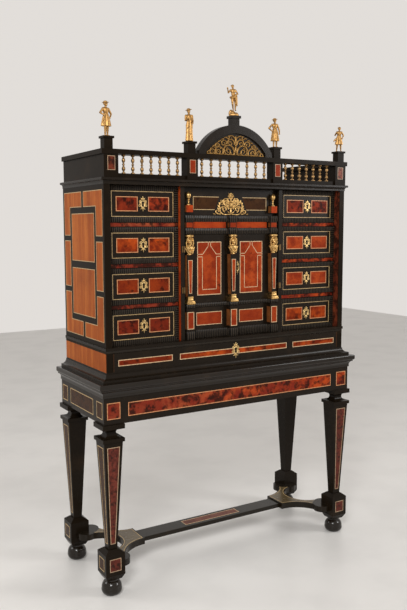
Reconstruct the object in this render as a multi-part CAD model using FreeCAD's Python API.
import FreeCAD, Part
import os

from FreeCAD import Vector

# A cabinet on stand: an ebonised case of drawers around a small portico, on a table with tapered legs.
# All sizes are millimetres. +Z is up, the front faces -Y, and +X is to the right seen from the front.

# Stand
apron_width = 1200.0
apron_depth = 434.0
apron_height = 103.0
apron_rail_thickness = 24.0
foot_height = 64.0
foot_radius = 39.0
foot_base_radius = 24.0
foot_neck_radius = 25.0
block_width = 80.0
block_body_height = 84.0
block_lower_taper = 21.0
block_upper_taper = 14.0
block_seat_margin = 4.0
leg_inset = 37.0
leg_length = 424.0
leg_top_width = 77.0
leg_bottom_width = 36.0
leg_cap_width = 89.0
leg_cap_thickness = 14.0
leg_neck_width = 38.0
leg_neck_height = 36.0
leg_head_width = 90.0
leg_head_thickness = 18.0
leg_neck_step = 8.0
stretcher_rise = 42.0
yoke_thickness = 26.0
yoke_length = 166.0
yoke_end_width = 116.0
yoke_fork_depth = 85.0
yoke_head_reach = 53.0
yoke_waist_width = 70.0
bar_width = 76.0
bar_thickness = 18.0
bar_drop = 5.0
stand_top_thickness = 54.0
stand_lip_overhang = 22.4

# Case
case_width = 1156.0
case_front_setback = 19.0
case_back_setback = 5.0
side_thickness = 25.0
back_thickness = 12.0
base_board_thickness = 36.0
base_board_overhang = 24.0
base_drawer_opening = 73.0
waist_thickness = 20.0
waist_overhang = 9.0
row_count = 4
row_opening = 138.0
dust_board_thickness = 17.6
drawer_recess = 39.0
rail_setback = 1.0
cornice_thickness = 24.2
cornice_overhang = 12.3

# Portico in the middle of the case
portico_width = 460.0
partition_thickness = 18.0
partition_projection = 21.0
plinth_opening = 127.0
cupboard_floor_thickness = 16.0
entablature_height = 77.5
entablature_shelf = 16.0
entablature_rail_thickness = 20.0
frieze_opening = 108.8
entablature_block_width = 33.0
entablature_block_projection = 19.0
entablature_block_height = 30.0
pilaster_width = 46.0
shaft_top_width = 32.0
shaft_bottom_width = 24.0
shaft_projection = 24.0
herm_head_height = 80.0
herm_head_radius = 21.0
herm_head_flat = 5.0
herm_base_height = 30.0
herm_base_width = 40.0
herm_base_projection = 29.0
pedestal_width = 38.0
pedestal_projection = 26.0
finial_block_width = 31.0
finial_block_height = 29.0
finial_block_projection = 21.0
finial_ball_radius = 11.0
finial_neck_height = 26.0
finial_neck_radius = 5.0
finial_lift = 9.0

# Drawers, doors and their hardware
drawer_side_gap = 1.0
drawer_top_gap = 1.5
running_gap = 0.3
drawer_front_thickness = 18.0
drawer_side_thickness = 10.0
drawer_bottom_thickness = 8.0
drawer_wall_drop = 14.0
drawer_back_gap = 5.0
ripple_width = 18.0
ripple_rise = 4.5
lock_case_width = 44.0
lock_case_height = 34.0
lock_case_depth = 9.0
escutcheon_height = 60.0
escutcheon_width = 34.0
escutcheon_thickness = 1.6
door_escutcheon_width = 18.0
door_escutcheon_height = 60.0
crest_width = 172.0
crest_height = 98.0
crest_thickness = 5.0
door_thickness = 18.0
door_gap = 1.2
door_meeting_gap = 1.8
door_meeting_bevel = 4.6
hinge_end_distance = 56.0
hinge_length = 24.0
hinge_barrel_radius = 3.0
hinge_pin_radius = 1.4
hinge_pin_clearance = 0.05
hinge_plate_thickness = 1.6
hinge_plate_width = 6.0
hinge_leaf_depth = 14.0
hinge_leaf_thickness = 0.8
hinge_joint_gap = 0.3
hinge_axis_inset = 3.0

# Gallery, pediment and figures
gallery_axis_setback = 17.0
gallery_base_height = 16.0
gallery_base_depth = 30.0
baluster_height = 68.0
baluster_radius = 9.5
side_bay_balusters = 7
middle_bay_balusters = 8
baluster_end_distance = 31.0
gallery_rail_height = 18.0
gallery_rail_depth = 50.0
gallery_rail_overhang = 8.0
gallery_back_setback = 12.0
gallery_panel_thickness = 20.0
pedestal_depth = 46.0
outer_pedestal_width = 58.0
inner_pedestal_width = 48.0
inner_post_inset = 24.0
post_width = 34.0
post_height = 38.0
outer_post_inset = 22.5
post_cap_width = 43.0
post_cap_height = 8.0
arch_width = 352.0
arch_rise = 121.0
arch_spring = 14.0
arch_band = 33.0
arch_panel_thickness = 24.0
arch_band_projection = 8.0
arch_mount_thickness = 3.0
arch_mount_clearance = 6.0
crown_block_width = 33.0
crown_block_height = 27.0
crown_cap_width = 42.0
crown_cap_height = 10.0
figure_heights = (124.0, 125.0, 118.0, 108.0)
crown_figure_height = 124.0

# Levels, from the floor up
block_bottom = foot_height
block_body_bottom = block_bottom + block_lower_taper
block_body_top = block_body_bottom + block_body_height
leg_bottom = block_body_top + block_upper_taper
cap_bottom = leg_bottom + leg_length
neck_bottom = cap_bottom + leg_cap_thickness
head_bottom = neck_bottom + leg_neck_height
apron_bottom = head_bottom + leg_head_thickness
stand_top_bottom = apron_bottom + apron_height
case_bottom = stand_top_bottom + stand_top_thickness
base_floor = case_bottom + base_board_thickness
waist_bottom = base_floor + base_drawer_opening
case_floor = waist_bottom + waist_thickness
row_pitch = row_opening + dust_board_thickness
case_ceiling = case_floor + row_count * row_pitch - dust_board_thickness
case_top = case_ceiling + cornice_thickness
baluster_bottom = case_top + gallery_base_height
gallery_rail_bottom = baluster_bottom + baluster_height
gallery_rail_top = gallery_rail_bottom + gallery_rail_height
post_top = gallery_rail_top + post_height
post_cap_top = post_top + post_cap_height
arch_top = gallery_rail_top + arch_rise
crown_block_top = arch_top + crown_block_height
crown_cap_top = crown_block_top + crown_cap_height
cupboard_floor_bottom = case_floor + plinth_opening
cupboard_floor_top = cupboard_floor_bottom + cupboard_floor_thickness
frieze_floor = case_ceiling - frieze_opening
entablature_bottom = frieze_floor - entablature_height
stretcher_top = block_body_bottom + stretcher_rise

# Planes across the depth, with the whole object's box centred on the origin
leg_axis_depth = apron_depth / 2 - leg_inset
front_reach = apron_depth / 2 + stand_lip_overhang
back_reach = max(apron_depth / 2, leg_axis_depth + leg_head_width / 2)
stand_middle = (front_reach - back_reach) / 2
apron_front = stand_middle - apron_depth / 2
apron_back = stand_middle + apron_depth / 2
case_front = apron_front + case_front_setback
case_back = apron_back - case_back_setback
case_inner_back = case_back - back_thickness
drawer_face = case_front + drawer_recess
partition_face = drawer_face - partition_projection
gallery_axis = case_front + gallery_axis_setback
gallery_back = case_back - gallery_back_setback

# Places across the width
leg_axis_width = apron_width / 2 - leg_inset
case_half = case_width / 2
case_inner = case_half - side_thickness
portico_half = portico_width / 2
column_inner = portico_half + partition_thickness
pilaster_offset = portico_half - door_gap - pilaster_width / 2
inner_post_offset = portico_half - inner_post_inset
outer_post_offset = case_half - outer_post_inset
SIDES = (("left", -1), ("right", 1))


def board(x_range, y_range, z_range):
    """A rectangular board between two corners, whatever the order of the limits."""
    low = [min(limits) for limits in (x_range, y_range, z_range)]
    high = [max(limits) for limits in (x_range, y_range, z_range)]
    return Part.makeBox(high[0] - low[0], high[1] - low[1], high[2] - low[2], Vector(*low))


def run(path, to_space):
    """Edges along a path of straight runs (u, v) and of arcs (middle u, middle v, u, v)."""
    edges = []
    here = to_space(*path[0])
    for step in path[1:]:
        there = to_space(*step[-2:])
        if len(step) == 2:
            edges.append(Part.makeLine(here, there))
        else:
            edges.append(Part.Arc(here, to_space(*step[:2]), there).toShape())
        here = there
    return edges


def prism(path, to_space, depth):
    """A closed outline, whose last point joins the first, carried along a vector."""
    edges = run(path + [path[0]], to_space)
    return Part.Face(Part.Wire(edges)).extrude(depth)


def mirrored_face(half_path, to_space):
    """The face between a path and its mirror image in u = 0, joined at both ends."""
    right = run(half_path, to_space)
    left = run(half_path, lambda u, v: to_space(-u, v))
    first = half_path[0][-2:]
    last = half_path[-1][-2:]
    closing = [
        Part.makeLine(to_space(-first[0], first[1]), to_space(*first)),
        Part.makeLine(to_space(-last[0], last[1]), to_space(*last)),
    ]
    return Part.Face(Part.Wire(Part.__sortEdges__(right + left + closing)))


def square_stack(half_path, x, y):
    """A four-sided upright piece whose four faces follow one (half width, height) path."""
    reach = max(step[-2] for step in half_path)
    across = mirrored_face(half_path, lambda u, v: Vector(u, -reach, v))
    along = mirrored_face(half_path, lambda u, v: Vector(-reach, u, v))
    solid = across.extrude(Vector(0, 2 * reach, 0)).common(along.extrude(Vector(2 * reach, 0, 0)))
    solid = solid.Solids[0]
    solid.translate(Vector(x, y, 0))
    return solid


def turned(path, x, y):
    """A turned piece on a vertical axis from a (radius, height) path that starts and ends on the axis."""
    edges = run(path + [path[0]], lambda u, v: Vector(u, 0, v))
    solid = Part.Face(Part.Wire(edges)).revolve(Vector(0, 0, 0), Vector(0, 0, 1), 360)
    solid.translate(Vector(x, y, 0))
    return solid


def moulded_slab(half_width, front, back, level, edge):
    """A board with one moulded edge, (overhang, height) upwards, along its front and both sides."""
    reach = max(step[-2] for step in edge)
    wide = [tuple(v + (half_width if i % 2 == 0 else level) for i, v in enumerate(step)) for step in edge]
    across = mirrored_face(wide, lambda u, v: Vector(u, front - reach, v))
    across = across.extrude(Vector(0, back - front + reach, 0))
    start = -half_width - reach
    front_edge = run(edge, lambda u, v: Vector(start, front - u, level + v))
    bottom = Vector(start, front - edge[0][-2], level + edge[0][-1])
    top = Vector(start, front - edge[-1][-2], level + edge[-1][-1])
    corners = [bottom, Vector(start, back, bottom.z), Vector(start, back, top.z), top]
    closing = [Part.makeLine(a, b) for a, b in zip(corners, corners[1:])]
    along = Part.Face(Part.Wire(Part.__sortEdges__(front_edge + closing)))
    return across.common(along.extrude(Vector(-2 * start, 0, 0))).Solids[0]


def front_disc(x, z, radius, face, thickness):
    """A thin disc standing on a front face."""
    return Part.makeCylinder(radius, thickness, Vector(x, face, z), Vector(0, -1, 0))


def save(node, solids):
    """Write one named node, as one solid or a group of separate solids."""
    shape = solids[0] if len(solids) == 1 else Part.makeCompound(solids)
    shape.exportStep(os.path.join("parts", node + ".step"))


def leg_places():
    """The four leg axes."""
    return [
        (sx * leg_axis_width, stand_middle + sy * leg_axis_depth) for sy in (-1, 1) for sx in (-1, 1)
    ]


def build_stand_supports():
    """Bun feet, chamfered blocks and tapered legs with their waisted capitals."""
    widest = 0.42 * foot_height
    shoulder = 0.86 * foot_height
    bun = [
        (0, 0),
        (foot_base_radius, 0),
        (foot_radius, widest / 2, foot_radius, widest),
        (0.93 * foot_radius, 0.66 * foot_height, foot_neck_radius, shoulder),
        (foot_neck_radius, foot_height),
        (0, foot_height),
    ]
    block = [
        (foot_neck_radius + block_seat_margin, block_bottom),
        (block_width / 2, block_body_bottom),
        (block_width / 2, block_body_top),
        (leg_bottom_width / 2 + block_seat_margin, leg_bottom),
    ]
    cap = leg_cap_width / 2
    head = leg_head_width / 2
    leg = [
        (leg_bottom_width / 2, leg_bottom),
        (leg_top_width / 2, cap_bottom),
        (cap, cap_bottom),
        (cap, neck_bottom),
        (cap - leg_neck_step, neck_bottom),
        (leg_neck_width / 2, (neck_bottom + head_bottom) / 2, head - leg_neck_step, head_bottom),
        (head, head_bottom),
        (head, apron_bottom),
    ]
    places = leg_places()
    save("stand_feet", [turned(bun, x, y) for x, y in places])
    save("stand_leg_blocks", [square_stack(block, x, y) for x, y in places])
    save("stand_legs", [square_stack(leg, x, y) for x, y in places])


def build_stretcher():
    """Two forked yokes, each in two halves, that clasp the blocks, and the bar between them."""
    low = stretcher_top - yoke_thickness
    face_x = leg_axis_width - block_width / 2
    face_y = leg_axis_depth - block_width / 2
    root_x = face_x - yoke_length
    fork_x = root_x + yoke_fork_depth
    waist = yoke_waist_width / 2
    middle_x = (root_x + face_x) / 2
    lobe_x = face_x - 0.8 * yoke_head_reach
    lobe_y = face_y - 0.8 * yoke_head_reach
    half = [
        (root_x, 0),
        (root_x, yoke_end_width / 2),
        (middle_x - 0.6 * waist, face_y - 1.95 * waist, lobe_x, face_y - 0.1 * waist),
        (lobe_x - 0.05 * waist, face_y + 0.6 * yoke_head_reach, face_x, face_y + yoke_head_reach),
        (face_x, face_y),
        (face_x + yoke_head_reach, face_y),
        (face_x + 0.6 * yoke_head_reach, lobe_y, face_x - 0.1 * waist, lobe_y),
        (fork_x + 0.25 * waist, 0.45 * lobe_y, fork_x, 0),
    ]
    solids = []
    for sx in (-1, 1):
        for sy in (-1, 1):
            place = lambda u, v: Vector(sx * u, stand_middle + sy * v, low)
            solids.append(prism(half, place, Vector(0, 0, yoke_thickness)))
    bar_top = stretcher_top - bar_drop
    bar = board(
        (-root_x, root_x),
        (stand_middle - bar_width / 2, stand_middle + bar_width / 2),
        (bar_top - bar_thickness, bar_top),
    )
    save("stand_stretcher", solids + [bar])


def build_apron():
    """Four apron rails under the table top, the side rails housed between front and back."""
    heights = (apron_bottom, stand_top_bottom)
    half = apron_width / 2
    between = (apron_front + apron_rail_thickness, apron_back - apron_rail_thickness)
    rails = [
        board((-half, half), (apron_front, between[0]), heights),
        board((-half, half), (between[1], apron_back), heights),
    ]
    for _, sx in SIDES:
        rails.append(board((sx * (half - apron_rail_thickness), sx * half), between, heights))
    save("stand_apron", rails)


def build_stand_top():
    """The moulded table top: fillet, cove, step and rounded lip."""
    reach = stand_lip_overhang
    thick = stand_top_thickness
    edge = [
        (0.18 * reach, 0),
        (0.18 * reach, 0.12 * thick),
        (0.28 * reach, 0.34 * thick, 0.62 * reach, 0.48 * thick),
        (0.72 * reach, 0.48 * thick),
        (0.72 * reach, 0.58 * thick),
        (0.94 * reach, 0.64 * thick, reach, 0.78 * thick),
        (reach, 0.9 * thick),
        (0.95 * reach, 0.97 * thick, 0.8 * reach, thick),
    ]
    save("stand_top", [moulded_slab(apron_width / 2, apron_front, apron_back, stand_top_bottom, edge)])


def build_case_boards():
    """The coved base board, the waist board with its bead, and the cornice board."""
    reach = base_board_overhang
    thick = base_board_thickness
    cove = [
        (reach, 0),
        (reach, 0.34 * thick),
        (0.32 * reach, 0.5 * thick, 0.1 * reach, 0.88 * thick),
        (0, 0.88 * thick),
        (0, thick),
    ]
    base = moulded_slab(case_half, case_front, case_back, case_bottom, cove)
    bead_foot = 0.45 * waist_thickness
    bead_root = 0.35 * waist_overhang
    bead = [
        (0, 0),
        (0, bead_foot),
        (bead_root, bead_foot),
        (waist_overhang, (bead_foot + waist_thickness) / 2, bead_root, waist_thickness),
    ]
    waist = moulded_slab(case_half, case_front, case_back, waist_bottom, bead)
    reach = cornice_overhang
    thick = cornice_thickness
    cornice = [
        (0.15 * reach, 0),
        (0.15 * reach, 0.2 * thick),
        (0.25 * reach, 0.45 * thick, 0.7 * reach, 0.62 * thick),
        (reach, 0.62 * thick),
        (reach, 0.88 * thick),
        (0.93 * reach, 0.97 * thick, 0.75 * reach, thick),
    ]
    save("carcase_bottom", [base, waist])
    save("carcase_top", [moulded_slab(case_half, case_front, case_back, case_ceiling, cornice)])


def build_case_walls():
    """Side boards below and above the waist, the back panels, partitions and dust boards."""
    storeys = ((base_floor, waist_bottom), (case_floor, case_ceiling))
    sides = []
    backs = []
    for heights in storeys:
        for _, sx in SIDES:
            sides.append(board((sx * case_inner, sx * case_half), (case_front, case_back), heights))
        backs.append(board((-case_inner, case_inner), (case_inner_back, case_back), heights))
    save("carcase_sides", sides)
    save("carcase_back", backs)
    dividers = []
    rail_face = drawer_face + rail_setback
    for _, sx in SIDES:
        dividers.append(
            board(
                (sx * portico_half, sx * column_inner),
                (partition_face, case_inner_back),
                (case_floor, case_ceiling),
            )
        )
        for row in range(1, row_count):
            level = case_floor + row * row_pitch - dust_board_thickness
            dividers.append(
                board(
                    (sx * column_inner, sx * case_inner),
                    (rail_face, case_inner_back),
                    (level, level + dust_board_thickness),
                )
            )
    dividers.append(
        board(
            (-portico_half, portico_half),
            (drawer_face, case_inner_back),
            (cupboard_floor_bottom, cupboard_floor_top),
        )
    )
    save("carcase_dividers", dividers)


def build_entablature():
    """The shelf pair over the doors, the frieze rail between them and its three forward blocks."""
    shelf_depth = (drawer_face + entablature_rail_thickness, case_inner_back)
    across = (-portico_half, portico_half)
    low_shelf = (entablature_bottom, entablature_bottom + entablature_shelf)
    high_shelf = (frieze_floor - entablature_shelf, frieze_floor)
    rail = (drawer_face, drawer_face + entablature_rail_thickness)
    solids = [
        board(across, shelf_depth, low_shelf),
        board(across, shelf_depth, high_shelf),
        board(across, rail, (entablature_bottom, frieze_floor)),
    ]
    middle = (entablature_bottom + frieze_floor) / 2
    half_width = entablature_block_width / 2
    half_height = entablature_block_height / 2
    for x in (-pilaster_offset, 0, pilaster_offset):
        solids.append(
            board(
                (x - half_width, x + half_width),
                (drawer_face - entablature_block_projection, drawer_face),
                (middle - half_height, middle + half_height),
            )
        )
    save("portico_entablature", solids)


def drawer_box(x_range, front, z_range):
    """Bottom, sides and back of a drawer behind its front board."""
    x0, x1 = x_range
    z0, z1 = z_range
    back = case_inner_back - drawer_back_gap
    wall_foot = z0 + drawer_bottom_thickness
    inner = (x0 + drawer_side_thickness, x1 - drawer_side_thickness)
    return [
        board(x_range, (front, back), (z0, wall_foot)),
        board((x0, inner[0]), (front, back), (wall_foot, z1)),
        board((inner[1], x1), (front, back), (wall_foot, z1)),
        board(inner, (back - drawer_side_thickness, back), (wall_foot, z1)),
    ]


def bordered_front(x_range, face, z_range):
    """A drawer front with a raised moulded border around a sunk field."""
    slab = board(x_range, (face - ripple_rise, face + drawer_front_thickness), z_range)
    field = board(
        (x_range[0] + ripple_width, x_range[1] - ripple_width),
        (face - 2 * ripple_rise, face),
        (z_range[0] + ripple_width, z_range[1] - ripple_width),
    )
    return slab.cut(field).Solids[0]


def keyhole_plate(x, z, face, width, height):
    """A lobed escutcheon plate around a keyhole."""
    radius = width / 2
    lobe = 0.28 * width
    plate = front_disc(x, z, radius, face, escutcheon_thickness)
    reach = height / 2 - lobe
    for sign in (-1, 1):
        plate = plate.fuse(front_disc(x, z + sign * reach, lobe, face, escutcheon_thickness))
    stem = board((x - lobe, x + lobe), (face - escutcheon_thickness, face), (z - reach, z + reach))
    return plate.fuse(stem).removeSplitter().Solids[0]


def lock_case(x, z, back_face):
    """The box lock screwed to the back of a front or door."""
    return board(
        (x - lock_case_width / 2, x + lock_case_width / 2),
        (back_face, back_face + lock_case_depth),
        (z - lock_case_height / 2, z + lock_case_height / 2),
    )


def drawer_limits(x_range, z_range):
    """A drawer's own limits inside its opening."""
    across = (x_range[0] + drawer_side_gap, x_range[1] - drawer_side_gap)
    return across, (z_range[0] + running_gap, z_range[1] - drawer_top_gap)


def build_side_drawers():
    """Four drawers on each side of the portico, numbered from the top."""
    for side, sx in SIDES:
        opening = sorted((sx * column_inner, sx * case_inner))
        for row in range(row_count):
            level = case_ceiling - row * row_pitch - row_opening
            across, heights = drawer_limits(opening, (level, level + row_opening))
            name = "drawer_{}_{}".format(side, row + 1)
            back_face = drawer_face + drawer_front_thickness
            save(name + "_front", [bordered_front(across, drawer_face, heights)])
            save(name + "_box", drawer_box(across, back_face, (heights[0], heights[1] - drawer_wall_drop)))
            x = sum(across) / 2
            z = sum(heights) / 2
            plate = keyhole_plate(x, z, drawer_face, escutcheon_width, escutcheon_height)
            save(name + "_lock", [plate, lock_case(x, z, back_face)])


def build_base_drawer():
    """The long shallow drawer in the base, flush with the case front."""
    across, heights = drawer_limits((-case_inner, case_inner), (base_floor, waist_bottom))
    back_face = case_front + drawer_front_thickness
    save("base_drawer_front", [board(across, (case_front, back_face), heights)])
    save("base_drawer_box", drawer_box(across, back_face, (heights[0], heights[1] - drawer_wall_drop)))
    z = sum(heights) / 2
    plate = keyhole_plate(0, z, case_front, escutcheon_width, escutcheon_height)
    save("base_drawer_lock", [plate, lock_case(0, z, back_face)])


def build_frieze_drawer():
    """The drawer over the entablature, with end blocks, ball finials and a pierced crest."""
    across, heights = drawer_limits((-portico_half, portico_half), (frieze_floor, case_ceiling))
    back_face = drawer_face + drawer_front_thickness
    block_low = heights[0] + finial_lift
    block_high = block_low + finial_block_height
    solids = [board(across, (drawer_face, back_face), heights)]
    block_front = drawer_face - finial_block_projection
    finials = []
    for _, sx in SIDES:
        x = sx * pilaster_offset
        ends = (x - finial_block_width / 2, x + finial_block_width / 2)
        solids.append(board(ends, (block_front, drawer_face), (block_low, block_high)))
        ball_middle = block_high + finial_neck_height + finial_ball_radius
        neck_top = ball_middle - (finial_ball_radius**2 - finial_neck_radius**2) ** 0.5
        finial = [
            (0, block_high),
            (finial_neck_radius, block_high),
            (finial_neck_radius, neck_top),
            (finial_ball_radius, ball_middle, 0, ball_middle + finial_ball_radius),
        ]
        finials.append(turned(finial, x, drawer_face - finial_ball_radius - running_gap))
    save("frieze_drawer_front", solids)
    save("frieze_drawer_box", drawer_box(across, back_face, (heights[0], heights[1] - drawer_wall_drop)))
    middle = sum(heights) / 2
    half_width = crest_width / 2
    half_height = crest_height / 2
    crest = [
        (half_width, -half_height),
        (half_width, -0.72 * half_height),
        (0.62 * half_width, -0.6 * half_height),
        (0.7 * half_width, 0.1 * half_height, 0.3 * half_width, 0.6 * half_height),
        (0.12 * half_width, half_height),
    ]
    face = mirrored_face(crest, lambda u, v: Vector(u, drawer_face, middle + v))
    save("frieze_drawer_mounts", [face.extrude(Vector(0, -crest_thickness, 0))] + finials)


def build_plinth_drawer():
    """The drawer under the doors, whose front carries the three pedestals."""
    across, heights = drawer_limits((-portico_half, portico_half), (case_floor, cupboard_floor_bottom))
    back_face = drawer_face + drawer_front_thickness
    solids = [board(across, (drawer_face, back_face), heights)]
    for x in (-pilaster_offset, 0, pilaster_offset):
        ends = (x - pedestal_width / 2, x + pedestal_width / 2)
        solids.append(board(ends, (drawer_face - pedestal_projection, drawer_face), heights))
    save("plinth_drawer_front", solids)
    save("plinth_drawer_box", drawer_box(across, back_face, (heights[0], heights[1] - drawer_wall_drop)))


def herm(x, z_range):
    """A tapered herm shaft on the door's face, with its gilt foot and the gilt head over it."""
    foot_top = z_range[0] + herm_base_height
    head_level = z_range[1] - herm_head_height
    taper = [(shaft_bottom_width / 2, foot_top), (shaft_top_width / 2, head_level)]
    face = mirrored_face(taper, lambda u, v: Vector(x + u, drawer_face, v))
    shaft = face.extrude(Vector(0, -shaft_projection, 0))
    foot = board(
        (x - herm_base_width / 2, x + herm_base_width / 2),
        (drawer_face - herm_base_projection, drawer_face),
        (z_range[0], foot_top),
    )
    radius = herm_head_radius
    neck_radius = 0.45 * radius
    skull_radius = 0.21 * herm_head_height
    skull_middle = z_range[1] - skull_radius
    bust = [
        (0, head_level),
        (0.85 * radius, head_level),
        (radius, head_level + 0.3 * herm_head_height),
        (neck_radius, head_level + 0.45 * herm_head_height),
        (neck_radius, skull_middle - (skull_radius**2 - neck_radius**2) ** 0.5),
        (skull_radius, skull_middle, 0, z_range[1]),
    ]
    axis = drawer_face - radius + herm_head_flat
    keep = board((x - radius, x + radius), (axis - radius, drawer_face), z_range)
    head = turned(bust, x, axis).common(keep).Solids[0]
    return shaft, [foot, head]


def door_leaf(outer, meeting, bevel, z_range):
    """A door leaf with its meeting edge bevelled away from its neighbour towards the back."""
    rear = drawer_face + door_thickness
    plan = [(outer, drawer_face), (meeting, drawer_face), (meeting + bevel, rear), (outer, rear)]
    height = z_range[1] - z_range[0]
    return prism(plan, lambda u, v: Vector(u, v, z_range[0]), Vector(0, 0, height))


def hinge_levels(z_range):
    """The heights of a door's two hinges."""
    return (z_range[0] + hinge_end_distance, z_range[1] - hinge_end_distance)


def hinge_halves(sx, z):
    """A butt hinge: the case leaf with its two knuckles and pin, and the door leaf with its one."""
    axis_x = sx * (portico_half + hinge_axis_inset)
    axis_y = partition_face - hinge_barrel_radius - hinge_joint_gap
    third = hinge_length / 3
    bottom = z - hinge_length / 2
    top = z + hinge_length / 2
    plate_y = (partition_face - hinge_plate_thickness, partition_face)
    tab_y = (partition_face - hinge_plate_thickness, partition_face - hinge_joint_gap)
    clear = hinge_barrel_radius + hinge_joint_gap
    case_plate = (axis_x + sx * clear, axis_x + sx * (clear + hinge_plate_width))
    fixed = board(case_plate, plate_y, (bottom, top))
    fixed = fixed.fuse(Part.makeCylinder(hinge_pin_radius, hinge_length, Vector(axis_x, axis_y, bottom)))
    for low in (bottom, top - third):
        knuckle = Part.makeCylinder(hinge_barrel_radius, third, Vector(axis_x, axis_y, low))
        tab = board((axis_x, axis_x + sx * clear), tab_y, (low, low + third))
        fixed = fixed.fuse([knuckle, tab])
    door_edge = sx * (portico_half - door_gap)
    swing_low = bottom + third + hinge_joint_gap
    swing_height = third - 2 * hinge_joint_gap
    leaf_y = (partition_face, drawer_face + hinge_leaf_depth)
    moving = board((door_edge, door_edge + sx * hinge_leaf_thickness), leaf_y, (bottom, top))
    knuckle = Part.makeCylinder(hinge_barrel_radius, swing_height, Vector(axis_x, axis_y, swing_low))
    swing_heights = (swing_low, swing_low + swing_height)
    tab = board((door_edge, axis_x), tab_y, swing_heights)
    root = board((door_edge, door_edge + sx * hinge_leaf_thickness), plate_y, swing_heights)
    bore_radius = hinge_pin_radius + hinge_pin_clearance
    bore = Part.makeCylinder(bore_radius, hinge_length, Vector(axis_x, axis_y, bottom))
    moving = moving.fuse([knuckle, tab, root]).cut(bore)
    return fixed.removeSplitter().Solids[0], moving.removeSplitter().Solids[0]


def build_doors():
    """Two doors with herm pilasters; the right one carries the middle pilaster and the lock."""
    heights = (cupboard_floor_top + running_gap, entablature_bottom - door_gap)
    edge = portico_half - door_gap
    cover = -pilaster_width / 2
    left_meeting = cover - door_meeting_gap
    save("door_left_leaf", [door_leaf(-edge, left_meeting, -door_meeting_bevel, heights)])
    save("door_right_leaf", [door_leaf(edge, cover, door_meeting_bevel, heights)])
    left_wood, left_gilt = herm(-pilaster_offset, heights)
    save("door_left_pilaster", [left_wood])
    save("door_left_herm", left_gilt)
    right_wood = []
    right_gilt = []
    for x in (0, pilaster_offset):
        wood, gilt = herm(x, heights)
        right_wood.append(wood)
        right_gilt += gilt
    save("door_right_pilasters", right_wood)
    save("door_right_herms", right_gilt)
    lock_x = pilaster_width / 2 + door_escutcheon_width / 2 + door_gap
    lock_z = sum(heights) / 2
    plate = keyhole_plate(lock_x, lock_z, drawer_face, door_escutcheon_width, door_escutcheon_height)
    save("door_right_lock", [plate, lock_case(lock_x, lock_z, drawer_face + door_thickness)])
    case_leaves = []
    for side, sx in SIDES:
        pairs = [hinge_halves(sx, z) for z in hinge_levels(heights)]
        case_leaves += [fixed for fixed, _ in pairs]
        save("door_{}_hinges".format(side), [moving for _, moving in pairs])
    save("hinge_case_leaves", case_leaves)


def gallery_bays():
    """The baluster bays of the gallery front, as (left, right, number of balusters)."""
    outer = case_half - outer_pedestal_width
    inner_out = inner_post_offset + inner_pedestal_width / 2
    inner_in = inner_post_offset - inner_pedestal_width / 2
    return [
        (-outer, -inner_out, side_bay_balusters),
        (-inner_in, inner_in, middle_bay_balusters),
        (inner_out, outer, side_bay_balusters),
    ]


def build_gallery():
    """Gallery rails, end panels, pedestals, posts and the turned balusters."""
    half_base = gallery_base_depth / 2
    half_rail = gallery_rail_depth / 2
    half_pedestal = pedestal_depth / 2
    rail_heights = (gallery_rail_bottom, gallery_rail_top)
    outer = case_half + gallery_rail_overhang
    base_y = (gallery_axis - half_base, gallery_axis + half_base)
    rails = [board((left, right), base_y, (case_top, baluster_bottom)) for left, right, _ in gallery_bays()]
    rails.append(board((-outer, outer), (gallery_axis - half_rail, gallery_axis + half_rail), rail_heights))
    for _, sx in SIDES:
        rail_x = (sx * (outer - gallery_rail_depth), sx * outer)
        rails.append(board(rail_x, (gallery_axis + half_rail, gallery_back), rail_heights))
        rails.append(
            board(
                (sx * (case_half - gallery_panel_thickness), sx * case_half),
                (gallery_axis + half_pedestal, gallery_back),
                (case_top, gallery_rail_bottom),
            )
        )
    save("gallery_rails", rails)
    posts = []
    pedestal_y = (gallery_axis - half_pedestal, gallery_axis + half_pedestal)
    half_cap = post_cap_width / 2
    post = [
        (post_width / 2, gallery_rail_top),
        (post_width / 2, post_top),
        (half_cap, post_top),
        (half_cap, post_cap_top),
    ]
    half_inner = inner_pedestal_width / 2
    inner_pedestal = (inner_post_offset - half_inner, inner_post_offset + half_inner)
    for _, sx in SIDES:
        for near, far in ((case_half - outer_pedestal_width, case_half), inner_pedestal):
            posts.append(board((sx * near, sx * far), pedestal_y, (case_top, gallery_rail_bottom)))
        for offset in (outer_post_offset, inner_post_offset):
            posts.append(square_stack(post, sx * offset, gallery_axis))
    save("gallery_posts", posts)
    radius = baluster_radius
    low = baluster_bottom
    tall = baluster_height
    vase = [
        (0, low),
        (0.8 * radius, low),
        (0.8 * radius, low + 0.07 * tall),
        (0.4 * radius, low + 0.12 * tall),
        (radius, low + 0.3 * tall, 0.35 * radius, low + 0.45 * tall),
        (0.75 * radius, low + 0.5 * tall, 0.35 * radius, low + 0.55 * tall),
        (radius, low + 0.7 * tall, 0.4 * radius, low + 0.88 * tall),
        (0.8 * radius, low + 0.93 * tall),
        (0.8 * radius, gallery_rail_bottom),
        (0, gallery_rail_bottom),
    ]
    balusters = []
    for left, right, count in gallery_bays():
        pitch = (right - left - 2 * baluster_end_distance) / (count - 1)
        for i in range(count):
            balusters.append(turned(vase, left + baluster_end_distance + i * pitch, gallery_axis))
    save("gallery_balusters", balusters)


def arch_outline(inset):
    """The pediment's arched outline, drawn in from its edge by an inset."""
    half = arch_width / 2 - inset
    spring = gallery_rail_top + arch_spring
    top = arch_top - inset
    radius = (half**2 + (top - spring) ** 2) / (2 * (top - spring))
    centre = top - radius
    side_u = half * 0.6
    side_v = centre + (radius**2 - side_u**2) ** 0.5
    return [
        (-half, gallery_rail_top),
        (half, gallery_rail_top),
        (half, spring),
        (side_u, side_v, 0, top),
        (-side_u, side_v, -half, spring),
    ]


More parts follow.
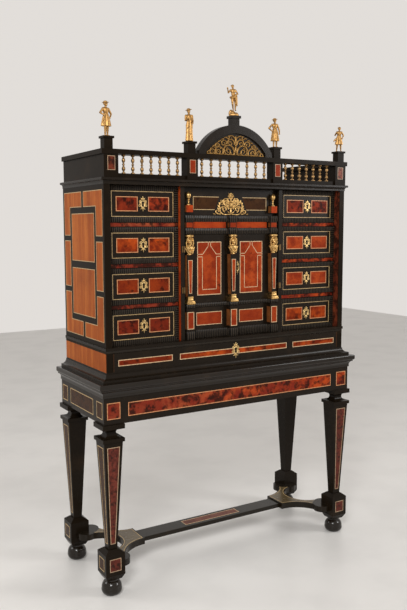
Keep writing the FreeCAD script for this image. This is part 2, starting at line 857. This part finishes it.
def build_pediment():
    """The arched pediment with its raised band, gilt lunette, crown block and cap."""
    panel_front = gallery_axis - arch_panel_thickness / 2
    to_panel = lambda u, v: Vector(u, panel_front, v)
    panel = prism(arch_outline(0), to_panel, Vector(0, arch_panel_thickness, 0))
    forward = Vector(0, -arch_band_projection, 0)
    sunk = prism(arch_outline(arch_band), to_panel, 2 * forward)
    band = prism(arch_outline(0), to_panel, forward).cut(sunk)
    crown = board(
        (-crown_block_width / 2, crown_block_width / 2),
        (gallery_axis - crown_block_width / 2, gallery_axis + crown_block_width / 2),
        (arch_top - crown_block_height, crown_block_top),
    )
    for solid in (panel, band):
        crown = crown.cut(solid)
    crown = max(crown.Solids, key=lambda solid: solid.Volume)
    half_cap = crown_cap_width / 2
    cap = board(
        (-half_cap, half_cap),
        (gallery_axis - half_cap, gallery_axis + half_cap),
        (crown_block_top, crown_cap_top),
    )
    save("pediment", [panel, band.Solids[0], crown, cap])
    lunette = arch_outline(arch_band + arch_mount_clearance)
    mount = prism(lunette, to_panel, Vector(0, -arch_mount_thickness, 0))
    save("pediment_mount", [mount])


def statuette(x, y, z, height):
    """A small standing figure on a round base, with bent arms."""
    unit = height / 100.0
    neck = 3.5 * unit
    skull = 7 * unit
    body = [
        (0, z),
        (13 * unit, z),
        (13 * unit, z + 5 * unit),
        (9 * unit, z + 7 * unit),
        (6 * unit, z + 34 * unit),
        (7 * unit, z + 48 * unit),
        (9 * unit, z + 68 * unit, neck, z + 82 * unit),
        (neck, z + height - skull - (skull**2 - neck**2) ** 0.5),
        (skull, z + height - skull, 0, z + height),
    ]
    figure = turned(body, x, y)
    for sx in (-1, 1):
        shoulder = Vector(x + sx * 5 * unit, y, z + 76 * unit)
        elbow = Vector(x + sx * 14 * unit, y, z + 62 * unit)
        hand = Vector(x + sx * 6 * unit, y - 4 * unit, z + 50 * unit)
        for start, end in ((shoulder, elbow), (elbow, hand)):
            length = end.sub(start)
            figure = figure.fuse(Part.makeCylinder(2.6 * unit, length.Length, start, length))
        figure = figure.fuse(Part.makeSphere(2.6 * unit, elbow))
    return figure.removeSplitter().Solids[0]


def build_figures():
    """Four figures on the gallery posts and one on the crown of the pediment."""
    offsets = (-outer_post_offset, -inner_post_offset, inner_post_offset, outer_post_offset)
    figures = [
        statuette(x, gallery_axis, post_cap_top, height) for x, height in zip(offsets, figure_heights)
    ]
    figures.append(statuette(0, gallery_axis, crown_cap_top, crown_figure_height))
    save("figures", figures)


os.makedirs("parts", exist_ok=True)
build_stand_supports()
build_stretcher()
build_apron()
build_stand_top()
build_case_boards()
build_case_walls()
build_entablature()
build_side_drawers()
build_base_drawer()
build_frieze_drawer()
build_plinth_drawer()
build_doors()
build_gallery()
build_pediment()
build_figures()
